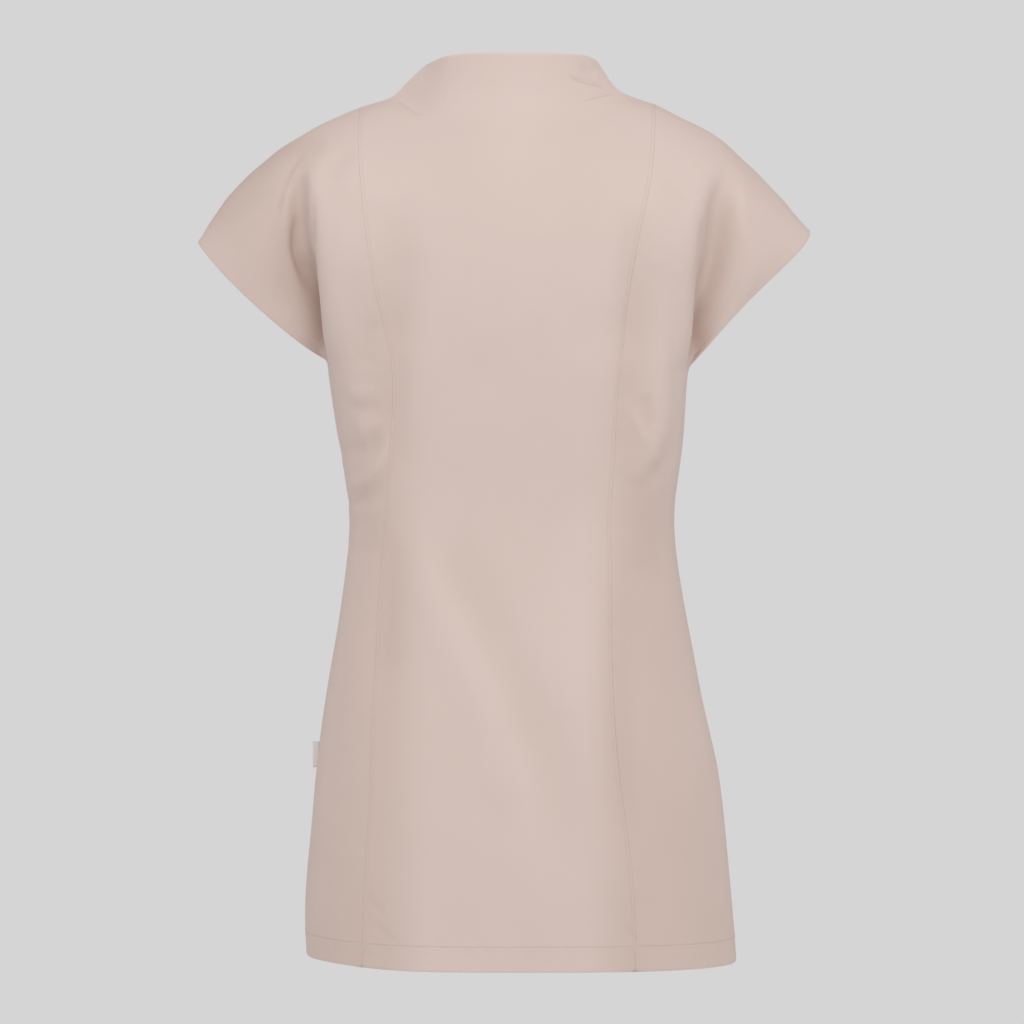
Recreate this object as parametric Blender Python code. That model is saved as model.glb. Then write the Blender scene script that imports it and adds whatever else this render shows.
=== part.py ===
"""A fitted, hip-length blouse in worn form: princess panels, cap sleeves cut in one with the side
panels, and a funnel collar cut in one with the centre panels. All lengths in the tables are in mm.
The origin is at the base of the neck; -Y is the blouse's back and +X its right side."""
import math

import bpy
import numpy as np

CLOTH = 1.6            # thickness of the cloth with its turnings and lining
GAP = 0.3              # space left between two pieces at a seam
SQUARENESS = 2.9       # exponent of the body's rings: 2 is an ellipse
CUFF_DEPTH = 50.0      # half-width of the cuff's mouth, front to back
CUFF_SAG = {"left": 7.0, "right": -1.0}       # how far its edge hangs past a straight line
CUFF_ROUND = {"left": 0.0, "right": 4.3}      # how far it swells just under the tip
UNDERARM = {"left": (-154.8, 0, -228.7), "right": (155.7, 0, -235.6)}
SLEEVE_TIP = {"left": (-265.7, 0, -126.4), "right": (259.7, 0, -120.4)}
TAB_HEIGHT, TAB_REACH, TAB_THICK, TAB_Z = 22.0, 3.4, 1.2, -567.0
CLOTH_COLOUR = (0.60, 0.47, 0.41, 1)
TAB_COLOUR = (0.75, 0.73, 0.70, 1)

# Body rings, from the hem up. Reach is from x = 0 at the side seams; the seams are the princess ones.
RINGS = [
    # z     left   right  back  front  left seam  right seam
    (-741, 172.0, 197.0, 125, 130, -121, 107),
    (-692, 173.0, 193.0, 124, 129, -120, 107),
    (-634, 168.0, 187.5, 122, 126, -117, 102),
    (-579, 163.5, 181.5, 118, 122, -114, 95),
    (-524, 156.5, 168.5, 112, 117, -113, 91),
    (-469, 147.0, 158.0, 104, 112, -112, 89),
    (-414, 139.0, 148.0, 96, 108, -108, 88),
    (-359, 135.0, 143.6, 92, 106, -102, 87),
    (-304, 143.6, 150.5, 97, 112, -99, 91.5),
    (-262, 150.5, 153.0, 102, 119, -98, 94),
    (-232, 154.8, 155.7, 106, 124, -99, 98),
]
# Where the side panel's lines cross a ring, as shares of the turn from princess to side seam.
SHARES_HEM = {"mid": 0.20, "ridge": 0.40, "valley": 0.58, "leg": 0.72, "sleeve": 0.86}
SHARES_ARM = {"mid": 0.30, "ridge": 0.55, "valley": 0.70, "leg": 0.80, "sleeve": 0.90}
# Where the centre panel's lines cross a ring, as shares of the way from centre to princess seam.
SHARES_CENTRE = {"neck": 0.84, "outer": 0.62, "inner": 0.32}

# Back of the shoulders: each line's points from just over the underarm up to the shoulder seam.
BACK_LEFT = {
    "neck": [(-87, -99, -210), (-92, -104, -173), (-96, -105, -127),
             (-100, -93, -81), (-100, -66, -46), (-97, 0, -2)],
    "princess": [(-103, -94, -210), (-111, -100, -173), (-118, -104, -127),
                 (-123, -90, -80), (-126, -60, -44), (-126, 0, -11)],
    "mid": [(-127, -85, -211), (-134, -93, -170), (-141, -97, -129),
            (-147, -84, -82), (-151, -56, -50), (-151, 0, -21)],
    "ridge": [(-151, -66, -211), (-156, -79, -169), (-160, -86, -130),
              (-165, -77, -81), (-173, -51, -54), (-176, 0, -34)],
    "valley": [(-156, -33, -214), (-161, -35, -174), (-168, -46, -135),
               (-176, -65, -85), (-189, -47, -62), (-195, 0, -46)],
    "leg": [(-158, -28, -218), (-170, -43, -181), (-184, -62, -142),
            (-189, -67, -97), (-205, -43, -76), (-212, 0, -60)],
    "sleeve": [(-159, -27, -221), (-177, -46, -192), (-205, -60, -157),
               (-219, -54, -119), (-233, -30, -103), (-239, 0, -86)],
}
BACK_RIGHT = {
    "neck": [(85, -99, -210), (89, -104, -173), (93, -105, -127),
             (98, -93, -81), (101, -66, -45), (97, 0, 2)],
    "princess": [(100, -94, -210), (104, -100, -173), (111, -104, -127),
                 (121, -90, -80), (125, -60, -44), (127, 0, -8)],
    "mid": [(125, -85, -211), (132, -93, -170), (139, -97, -129),
            (146, -84, -82), (151, -56, -50), (153, 0, -21)],
    "ridge": [(152, -66, -214), (156, -79, -171), (160, -86, -130),
              (168, -77, -82), (176, -51, -57), (179, 0, -34)],
    "valley": [(157, -34, -217), (162, -37, -177), (170, -49, -137),
               (180, -66, -87), (193, -47, -66), (197, 0, -50)],
    "leg": [(159, -29, -220), (172, -44, -185), (190, -62, -143),
            (198, -66, -99), (207, -43, -79), (214, 0, -66)],
    "sleeve": [(160, -27, -225), (179, -46, -196), (209, -60, -156),
               (221, -53, -118), (232, -30, -99), (237, 0, -90)],
}
# Depth of the front on the same lines, over the same x and z; the fold is softer than at the back.
FRONT_DEPTH = {
    "neck": (114, 112, 106, 92, 64, 0),
    "princess": (109, 109, 104, 90, 60, 0),
    "mid": (90, 94, 93, 82, 56, 0),
    "ridge": (65, 73, 79, 74, 51, 0),
    "valley": (40, 42, 57, 68, 47, 0),
    "leg": (31, 44, 63, 66, 43, 0),
    "sleeve": (28, 46, 60, 54, 30, 0),
}
# Centre panels' lines between the two neck points. The last three points are the collar's.
BACK_CENTRE = {
    "outer left": [(-63, -104, -211), (-66, -107, -173), (-68, -107, -127), (-71, -96, -82),
                   (-71, -76, -48), (-67, -48, -20), (-64, -44, -9), (-60, -40, 4), (-56, -37, 29)],
    "inner left": [(-33, -108, -211), (-33, -111, -174), (-33, -111, -128), (-33, -102, -82),
                   (-33, -88, -49), (-34, -70, -26), (-33, -62, -14), (-31, -58, 1), (-29, -56, 30)],
    "middle": [(0, -109, -211), (0, -112, -174), (0, -112, -128), (0, -104, -81), (0, -92, -49),
               (0, -77, -28), (0, -68, -15), (1, -64, 0), (2, -62, 29.5)],
    "inner right": [(33, -108, -211), (33, -111, -174), (33, -111, -128), (34, -102, -82),
                    (34, -88, -49), (34, -70, -26), (33, -62, -14), (32, -58, 1), (31, -56, 30)],
    "outer right": [(62, -104, -211), (64, -107, -173), (67, -107, -127), (70, -96, -82),
                    (70, -76, -48), (67, -48, -19), (64, -44, -9), (62, -40, 4), (61, -37, 31)],
}
FRONT_CENTRE = {
    "outer": [(63, 118, -206), (66, 118, -168), (69, 110, -126), (72, 96, -86), (74, 77, -58),
              (73, 56, -39), (70, 51, -31), (66, 46, -22), (61, 42, -12)],
    "inner": [(33, 124, -210), (34, 123, -180), (35, 119, -152), (36, 111, -130), (36, 102, -117),
              (35, 94, -107), (34, 91, -100), (32, 88, -92), (29, 85, -83)],
    "middle": [(0, 125, -217), (0, 123, -203), (0, 120, -190), (0, 116, -178), (0, 112, -169),
               (0, 109, -162), (0, 108, -158), (0, 106, -154), (0, 105, -150)],
}
COLLAR_SIDE = {
    "left": [(-91, -1, 5), (-84, -3, 13), (-69, -6, 26)],
    "right": [(92, -1, 8), (87, -3, 14), (78, -6, 28)],
}
# The largest folds: name, face, points (x, z) that it runs through, half-width, height (minus is in).
FOLDS = [
    ("blade left", "back", [(-93, -98), (-94, -200), (-93, -298)], 12, -2.5),
    ("blade right", "back", [(103, -98), (101, -200), (99, -298)], 12, -2.0),
    ("rib left", "back", [(-130, -198), (-118, -323)], 9, 2.5),
    ("rib right", "back", [(130, -198), (125, -315)], 9, 2.0),
    ("waist left", "back", [(-92, -395), (-104, -466), (-106, -524)], 13, -4.5),
    ("drape ridge", "back", [(-83, -399), (-56, -440), (-29, -486)], 14, 3.0),
    ("drape", "back", [(-46, -407), (3, -507), (53, -595)], 22, -3.5),
    ("hip right", "back", [(92, -449), (90, -549), (95, -641)], 13, -4.5),
    ("front waist right", "front", [(84, -400), (92, -470), (94, -530)], 13, -4.0),
    ("front drape", "front", [(40, -410), (-6, -500), (-50, -590)], 22, -3.0),
    ("front hip left", "front", [(-104, -449), (-106, -549), (-110, -641)], 13, -4.0),
]
FOLD_END = 0.35        # share of a fold's height left at its two ends
FOLD_RISE = 2.6        # how fast the fold gains its full height from there

LINES = ["sleeve", "leg", "valley", "ridge", "mid", "princess", "neck", "outer", "inner"]
COLUMN_CUTS = {"sleeve": 2, "leg": 2, "valley": 2, "ridge": 2, "mid": 2, "princess": 2,
               "neck": 1, "outer": 2, "inner": 2, "middle": 2}
RING_CUTS = [2] * (len(RINGS) - 1)
SHOULDER_CUTS = [1, 2, 2, 2, 2, 3]
COLLAR_CUTS = [1, 1, 2]
CUFF_SPANS = (0.15, 0.20, 0.20, 0.20, 0.15, 0.10)      # shares of the cuff's edge, one a shoulder cut


def through(points, cuts, before=None, after=None):
    """Points on a smooth curve through the given ones, with cuts[k] spans from point k to k + 1."""
    line = [np.array(p, float) for p in points]
    first = 0
    if before is not None:
        line.insert(0, np.array(before, float))
        first = 1
    if after is not None:
        line.append(np.array(after, float))
    knots = [0.0]
    for a, b in zip(line, line[1:]):
        knots.append(knots[-1] + max(np.linalg.norm(b - a), 1e-6) ** 0.5)
    slope = [None] * len(line)
    for i in range(1, len(line) - 1):
        h0, h1 = knots[i] - knots[i - 1], knots[i + 1] - knots[i]
        slope[i] = ((line[i] - line[i - 1]) / h0 * h1 + (line[i + 1] - line[i]) / h1 * h0) / (h0 + h1)
    ends = ((0, 1, 1), (len(line) - 1, len(line) - 2, -1))
    for end, near, way in ends:
        chord = (line[near] - line[end]) / (knots[near] - knots[end])
        slope[end] = chord if len(line) == 2 else 1.5 * chord - 0.5 * slope[near]
    made = []
    for k, parts in enumerate(cuts):
        i = k + first
        h = knots[i + 1] - knots[i]
        for j in range(parts):
            s = j / parts
            made.append((2 * s**3 - 3 * s**2 + 1) * line[i] + (s**3 - 2 * s**2 + s) * h * slope[i]
                        + (3 * s**2 - 2 * s**3) * line[i + 1] + (s**3 - s**2) * h * slope[i + 1])
    made.append(line[len(cuts) + first])
    return made


def ring_points(ring, rise):
    """{(face, side, line): point} of one body ring; rise is its place between hem 0 and underarm 1."""
    z, left, right, back, front, seam_left, seam_right = ring
    centre, half = (right - left) / 2, (right + left) / 2
    tilt = rise**6 * (UNDERARM["right"][2] - UNDERARM["left"][2]) / (2 * half)
    middle = (seam_left + seam_right) / 2 * (1 - rise) ** 0.5
    found = {}
    for face, depth in (("back", -back), ("front", front)):
        def on_ring(x):
            out = (1 - (abs(x - centre) / half) ** SQUARENESS) ** (1 / SQUARENESS)
            return (x, depth * out, z + tilt * x)

        found[face, "", "middle"] = on_ring(middle)
        for side, seam, way in (("left", seam_left, -1), ("right", seam_right, 1)):
            found[face, side, "princess"] = on_ring(seam)
            for line, share in SHARES_CENTRE.items():
                found[face, side, line] = on_ring(middle + (seam - middle) * share)
            turn = math.acos((abs(seam - centre) / half) ** (SQUARENESS / 2))
            for line in SHARES_HEM:
                share = SHARES_HEM[line] + (SHARES_ARM[line] - SHARES_HEM[line]) * rise**2
                angle = turn * (1 - share)
                x = centre + way * half * math.cos(angle) ** (2 / SQUARENESS)
                found[face, side, line] = (x, depth * math.sin(angle) ** (2 / SQUARENESS), z + tilt * x)
            x = centre + way * half
            found[face, side, "edge"] = (x, 0.0, z + tilt * x)
    return found


def cuff_point(side, face, share):
    """A point of the cuff's edge; share runs from the underarm, 0, to the sleeve's tip, 1."""
    low, high = np.array(UNDERARM[side], float), np.array(SLEEVE_TIP[side], float)
    across = np.array([high[0] - low[0], high[2] - low[2]])
    out = np.array([across[1], -across[0]]) / np.linalg.norm(across)
    if out[1] > 0:
        out = -out
    swell = math.sin(math.pi * share)
    point = low + (high - low) * (1 - math.cos(math.pi * share)) / 2
    point[1] = (-1 if face == "back" else 1) * CUFF_DEPTH * swell
    hang = CUFF_SAG[side] * swell**1.5 + CUFF_ROUND[side] * max(0.0, -math.sin(2 * math.pi * share))
    point[0] += out[0] * hang
    point[2] += out[1] * hang
    return tuple(point)


def key_lines():
    """{(face, side, line): its key points from the hem up}."""
    rings = [ring_points(ring, k / (len(RINGS) - 1)) for k, ring in enumerate(RINGS)]
    keys = {name: [ring[name] for ring in rings] for name in rings[0]}
    tables = {"left": BACK_LEFT, "right": BACK_RIGHT}
    for side, table in tables.items():
        way = -1 if side == "left" else 1
        for line, points in table.items():
            keys["back", side, line] += points
            keys["front", side, line] += [(x, y, z) for (x, _, z), y in zip(points, FRONT_DEPTH[line])]
        for line in ("outer", "inner"):
            keys["back", side, line] += BACK_CENTRE[line + " " + side]
            keys["front", side, line] += [(way * x, y, z) for x, y, z in FRONT_CENTRE[line]]
    keys["back", "", "middle"] += BACK_CENTRE["middle"]
    keys["front", "", "middle"] += FRONT_CENTRE["middle"]
    return keys


def fine_lines():
    """{(face, side, line): its points on every row}; lines from the neck inward run on up the collar."""
    keys = key_lines()
    body = RING_CUTS + SHOULDER_CUTS
    fine = {}
    shares, at = [], 0.0
    for span, parts in zip(CUFF_SPANS, SHOULDER_CUTS):
        for j in range(parts):
            shares.append(at + span * j / parts)
        at += span
    shares.append(1.0)
    for (face, side, line), points in keys.items():
        other = "front" if face == "back" else "back"
        if line == "edge":
            low = through(points, RING_CUTS)
            fine[face, side, line] = low + [np.array(cuff_point(side, face, s)) for s in shares[1:]]
        elif line in ("middle", "inner", "outer"):
            fine[face, side, line] = through(points, body + COLLAR_CUTS)
        else:
            across = keys[other, side, line][-2]
            fine[face, side, line] = through(points, body, after=across)
            if line == "neck":
                fine[face, side, line] += through([points[-1]] + COLLAR_SIDE[side], COLLAR_CUTS)[1:]
    return fine


ROWS = sum(RING_CUTS) + sum(SHOULDER_CUTS)      # the shoulder seam's row
ARM_ROW = sum(RING_CUTS)                        # the underarm's row
TOP = ROWS + sum(COLLAR_CUTS)                   # the collar's edge
SIDE_LINES = ["edge"] + LINES
NECK_PLACE = SIDE_LINES.index("neck")


def grids():
    """{face: rows of points} and the column number of each side's princess, neck and edge lines."""
    fine = fine_lines()
    names = [("left", line) for line in SIDE_LINES] + [("", "middle")]
    names += [("right", line) for line in SIDE_LINES[::-1]]
    cuts = []
    for (side, line), (_, after) in zip(names, names[1:]):
        key = after if side == "left" else line
        cuts.append(COLUMN_CUTS[line if side == "left" and line != "edge" else key])
    starts = np.concatenate([[0], np.cumsum(cuts)])
    column = {name: int(start) for name, start in zip(names, starts)}
    made = {"back": [], "front": []}
    for face in made:
        other = "front" if face == "back" else "back"
        for row in range(TOP + 1):
            if row <= ROWS:
                use = names
            else:
                use = [n for n in names if n[1] in ("neck", "outer", "inner", "middle")]
            points = [fine[(face,) + n][row] for n in use]
            before = after = None
            if row <= ARM_ROW:
                before, after = fine[other, "left", "sleeve"][row], fine[other, "right", "sleeve"][row]
            elif row >= ROWS:
                before, after = fine[other, "left", "outer"][row], fine[other, "right", "outer"][row]
            first = names.index(use[0])
            spans = cuts[first:first + len(use) - 1]
            if row == ROWS:                     # the shoulder seams turn into the neck at a corner
                left, right = NECK_PLACE, len(names) - 1 - NECK_PLACE
                line = (through(points[:left + 1], spans[:left])[:-1]
                        + through(points[left:right + 1], spans[left:right], before, after)
                        + through(points[right:], spans[right:])[1:])
            else:
                line = through(points, spans, before, after)
            made[face].append({int(starts[first]) + k: p for k, p in enumerate(line)})
    for row in range(TOP + 1):
        back, front = made["back"][row], made["front"][row]
        shared = []
        if row <= ARM_ROW:
            shared = [column["left", "edge"], column["right", "edge"]]
        if row == ROWS:
            shared = [c for c in back if c <= column["left", "neck"] or c >= column["right", "neck"]]
        if row > ROWS:
            shared = [column["left", "neck"], column["right", "neck"]]
        for c in shared:
            back[c] = front[c] = (back[c] + front[c]) / 2
    return made, column


def near_line(point, line):
    """Distance from (x, z) to a line of such points, and how far along it the nearest point is."""
    best = (1e9, 0.0)
    total = sum(math.dist(a, b) for a, b in zip(line, line[1:]))
    gone = 0.0
    for a, b in zip(line, line[1:]):
        a, b = np.array(a, float), np.array(b, float)
        long = np.linalg.norm(b - a)
        s = min(max(np.dot(point - a, b - a) / long**2, 0.0), 1.0)
        best = min(best, (float(np.linalg.norm(point - a - s * (b - a))), (gone + s * long) / total))
        gone += long
    return best


def cells(column):
    """{node: its cells}, each four (face, row, column) corners in order round, seen from outside."""
    pl, pr = column["left", "princess"], column["right", "princess"]
    nl, nr = column["left", "neck"], column["right", "neck"]
    last = column["right", "edge"]
    found = {}
    for face in ("back", "front"):
        for node, low, high in (("side_%s_left" % face, 0, pl), ("centre_%s" % face, pl, pr),
                                ("side_%s_right" % face, pr, last)):
            own = []
            for row in range(TOP):
                for c in range(low, high):
                    if row >= ROWS and not nl <= c < nr:
                        continue
                    corners = [(row, c), (row, c + 1), (row + 1, c + 1), (row + 1, c)]
                    corners = [(face,) + corner for corner in corners]
                    own.append(corners if face == "back" else corners[::-1])
            found[node] = own
    return found


def surface():
    """The outer points by (face, row, column), the normals, and the cells of each node."""
    made, column = grids()
    point = {}
    for face in made:
        for row, line in enumerate(made[face]):
            for c, p in line.items():
                point[face, row, c] = p
    nodes = cells(column)
    place = {key: tuple(np.round(p, 4)) for key, p in point.items()}

    def normals():
        total = {}
        for own in nodes.values():
            for corners in own:
                a, b, c, d = (point[k] for k in corners)
                n = np.cross(c - a, d - b)
                for k in corners:
                    total[place[k]] = total.get(place[k], 0) + n
        return {k: total[place[k]] / np.linalg.norm(total[place[k]]) for k in point if place[k] in total}

    normal = normals()
    moved = {}
    for key, p in point.items():
        shift = 0.0
        for _, face, line, width, height in FOLDS:
            if face != key[0]:
                continue
            away, along = near_line(p[[0, 2]], line)
            fade = min(1.0, FOLD_END + FOLD_RISE * min(along, 1 - along))
            shift += height * math.exp(-((away / width) ** 2)) * fade
        moved[key] = p + normal[key] * shift
    for key in point:
        twins = [k for k in (("back",) + key[1:], ("front",) + key[1:]) if place.get(k) == place[key]]
        point[key] = sum(moved[k] for k in twins) / len(twins)
    return point, normals(), nodes, place, column


def wall(own, point, normal, is_seam):
    """Closed mesh of one piece: outer sheet, inner sheet and rims. Seam edges are drawn back half a gap."""
    index = {}
    for corners in own:
        for k in corners:
            index.setdefault(k, len(index))
    edges = {edge: None for corners in own for edge in zip(corners, corners[1:] + corners[:1])}
    rim = [(a, b) for a, b in edges if (b, a) not in edges]
    inward = {}
    for a, b in rim:
        if is_seam(a, b):
            along = point[b] - point[a]
            along /= np.linalg.norm(along)
            for k in (a, b):
                side = np.cross(normal[k], along)
                inward.setdefault(k, []).append(side / np.linalg.norm(side))
    points = []
    for depth in (0.0, CLOTH):
        for k in index:
            p = point[k] - normal[k] * depth
            ways = inward.get(k, [])
            if len(ways) == 1:
                p = p + ways[0] * GAP / 2
            elif len(ways) == 2:
                p = p + (ways[0] + ways[1]) * GAP / 2 / (1 + float(np.dot(ways[0], ways[1])))
            points.append(p / 1000)
    n = len(index)
    faces = [[index[k] for k in corners] for corners in own]
    faces += [[index[k] + n for k in corners[::-1]] for corners in own]
    faces += [[index[b], index[a], index[a] + n, index[b] + n] for a, b in rim]
    return points, faces


def add_node(name, points, faces, colour):
    mesh = bpy.data.meshes.new(name)
    mesh.from_pydata([tuple(p) for p in points], [], faces)
    mesh.update()
    material = bpy.data.materials.new(name + "_cloth")
    material.use_nodes = True
    shader = material.node_tree.nodes["Principled BSDF"]
    shader.inputs["Base Color"].default_value = colour
    shader.inputs["Roughness"].default_value = 0.85
    mesh.materials.append(material)
    node = bpy.data.objects.new(name, mesh)
    bpy.context.scene.collection.children["blouse"].objects.link(node)


def tab(point, column):
    """The blank tab, a flat piece standing out from the left side seam."""
    c = column["left", "edge"]
    rows = range(ARM_ROW + 1)
    z = [point["back", r, c][2] for r in rows]
    x = [point["back", r, c][0] for r in rows]
    heights = [TAB_Z - TAB_HEIGHT / 2, TAB_Z, TAB_Z + TAB_HEIGHT / 2]
    points, faces = [], []
    for h in heights:
        edge = float(np.interp(h, z, x)) - GAP
        for dx, y in ((0, -1), (-TAB_REACH, -1), (-TAB_REACH, 1), (0, 1)):
            points.append(((edge + dx) / 1000, y * TAB_THICK / 2000, h / 1000))
    for k in range(len(heights) - 1):
        for j in range(4):
            a, b = 4 * k + j, 4 * k + (j + 1) % 4
            faces.append([a, a + 4, b + 4, b])
    faces += [[0, 1, 2, 3], [11, 10, 9, 8]]
    return points, faces


def build():
    for old in list(bpy.data.objects):
        bpy.data.objects.remove(old, do_unlink=True)
    bpy.context.scene.collection.children.link(bpy.data.collections.new("blouse"))
    point, normal, nodes, place, column = surface()
    twin = {}
    for node, own in nodes.items():
        for corners in own:
            for k in corners:
                twin.setdefault(place[k], set()).add(node)

    def is_seam(a, b):
        return len(twin[place[a]] & twin[place[b]]) > 1

    for node, own in nodes.items():
        add_node(node, *wall(own, point, normal, is_seam), CLOTH_COLOUR)
    add_node("label_tab", *tab(point, column), TAB_COLOUR)


build()
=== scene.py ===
"""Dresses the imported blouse: cloth panels with their creases, seams and stitching, and the blank tab.

Sizes are in mm where nothing else is said. Those written as a number times MM are in metres.
"""

import math

import bmesh
import bpy
import numpy as np
from mathutils import Matrix, Vector
from mathutils.kdtree import KDTree


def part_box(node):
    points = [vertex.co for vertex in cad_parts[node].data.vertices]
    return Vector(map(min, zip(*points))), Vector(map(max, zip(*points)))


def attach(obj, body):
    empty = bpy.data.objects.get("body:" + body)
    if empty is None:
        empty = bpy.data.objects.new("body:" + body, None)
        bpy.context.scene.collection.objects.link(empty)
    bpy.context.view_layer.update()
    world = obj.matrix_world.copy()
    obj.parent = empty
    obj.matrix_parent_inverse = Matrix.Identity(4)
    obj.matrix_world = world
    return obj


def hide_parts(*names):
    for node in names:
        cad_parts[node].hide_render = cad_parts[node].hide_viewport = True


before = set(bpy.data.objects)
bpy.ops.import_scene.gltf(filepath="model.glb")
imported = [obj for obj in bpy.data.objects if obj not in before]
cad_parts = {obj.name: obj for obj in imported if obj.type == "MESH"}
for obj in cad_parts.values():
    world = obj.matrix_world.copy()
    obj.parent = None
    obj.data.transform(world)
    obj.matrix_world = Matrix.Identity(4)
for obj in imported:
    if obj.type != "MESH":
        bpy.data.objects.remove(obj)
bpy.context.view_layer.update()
MM = 0.001

BACKS = ["side_back_left", "centre_back", "side_back_right"]
FRONTS = ["side_front_left", "centre_front", "side_front_right"]
PANELS = BACKS + FRONTS

WALL = 1.6 * MM                # thickness of the frame's cloth walls
WELD = 0.01                    # points nearer than this share of the wall are one
RIM_SPARE = 0.02               # share by which a rim's width may differ from the wall's
RIM_SQUARE = 0.75              # how square to the sheet a rim stands, as a cosine
CLOTH = 1.0 * MM               # thickness of the finished cloth
SEAM_BAND = 4.0 * MM           # strip of fine mesh kept along every edge
CORNER = -0.8                  # an edge that turns further than this cosine has a corner
REFINE = 3                     # subdivision levels of a panel
PATH_PARTS = 6                 # straight parts of a crease's line between two of its points

SAME_SEAM = 0.7                # two panels' edges nearer than this are one seam
LOOSE = 1.0                    # and one farther than this from all others is loose: neck, hem or cuff
HEM_TOP = -640                 # a loose edge below this z is the hem
UNDERARM_Z = -244              # the sleeves' cloth is above this z
FAR = 60.0                     # distances to an edge aren't told apart beyond this
# What is kept for each point of the cloth, for its finish to read.
MEASURES = ("seam_mm", "hem_mm", "edge_mm", "dart_mm", "dart_here", "tone")

SEAM_PULL = 8.0                # over which two panels are drawn together at their seam
SEAM_ROLL, SEAM_SOFT = 0.10, 0.8                    # that an edge rolls in at a seam, and over which
SEAM_PUFF, PUFF_SOFT = 0.16, 0.9                    # that turnings raise the cloth beside a princess seam
SEAM_RIPPLE, SEAM_RIPPLE_SOFT = 0.14, 5             # height and reach of the ripples along a seam
HEM_RIPPLE, HEM_RIPPLE_SOFT = 0.20, 6               # and along the hem's stitching
SEAM_WAVES, HEM_WAVES = (2.9, 23), (3.1, 27)        # their short and long waves
EDGE_ROLL, EDGE_SOFT = 0.35, 0.8                    # that a loose edge rolls in, and over which
# How flat the seams are pressed: distances down from the shoulders, and the share of relief left there.
PRESSED = ((150, 200, 300, 370), (1, 0.2, 0.2, 0.4))
UNEVEN = 0.35                  # height of the slow unevenness all over
# Its waves: a height, then for each of two that cross the mm of a radian in x, y and z, and a start.
WAVES = [(1.0, (21, math.inf, 63, 1.3), (-90, math.inf, 47, 0.4)),
         (0.6, (11.3, 30, -57, 2.1), (45, math.inf, 31, 0)),
         (0.35, (6.9, 17, 29, 0), (-37, math.inf, 15.5, 0.9))]
WAVES_HIGH = 1.6               # what their heights are divided by

STITCH_LINE = 2.7              # from the princess seam to its topstitching
HEM_LINE = 21.0                # from the hem's edge to its stitching
STITCH_CLEAR = 1.5             # that a row of stitches keeps from the piece's edges
SEAM_PITCH, HEM_PITCH = 2.6, 3.1                    # from stitch to stitch
STITCH_LONG, STITCH_WIDE, STITCH_PROUD = 2.1, 0.42, 0.04

LABEL_CLOTH = 0.3 * MM         # thickness of the label's ribbon
LABEL_ROWS = 11                # rows of faces up the label
# The ribbon seen from above: shares of its reach, from its fold in to the seam, and of its thickness.
LABEL_BEND = [(1.0, -0.36), (0.75, -0.36), (0.5, -0.37), (0.25, -0.37), (0.12, -0.32), (0.03, -0.15),
              (0.03, 0.15), (0.12, 0.32), (0.25, 0.37), (0.5, 0.37), (0.75, 0.36), (1.0, 0.36)]

# Painted shade: shares of a darker tint that the cloth takes in some places where shade falls. A pair says
# where a soft step starts and where it is done.
HOLLOW_SHADE, HOLLOW_DEEP, HOLLOW_MOST = 0.16, 4, 1.6    # share of painted shade in a trough this deep, and most times that
SIDE_SHADE = 0.24               # painted shade where the cloth turns round to the sides, away from the light
SIDE_OUT, SIDE_DOWN = (60, 106), (200, 380)         # out from the middle, down from the shoulders
SIDE_FACING, SIDE_LEAST = (0.35, 0.85), 0.4         # from edge-on to square to the back, least share
SHOULDER_SHADE = 0.18           # painted shade along the tops of the shoulders
SHOULDER_OUT, SHOULDER_UP = (70, 120), (-130, -100)     # out from the middle, z
SHOULDER_FACING = (0.2, 0.75)  # from all of the painted shade on top to none of it square to the back
SLEEVE_SHADE = 0.20             # painted shade on the left sleeve, which the light reaches less
SLEEVE_RIM, SLEEVE_SOFT = ((-90, -50), (163, 146)), 16  # how far out it starts at two z, and its step
SLEEVE_UP, SLEEVE_DOWN = (UNDERARM_Z, -200), (30, 50)   # from the underarm up, from the shoulder down
SLEEVE_CUFF, SLEEVE_LEAST = (4, 36), 0.5            # from its cuff, and the share at the cuff
TUCK_SHADE, TUCK_DEEP = 0.25, 8                      # share of painted shade inside a tuck this deep
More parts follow.
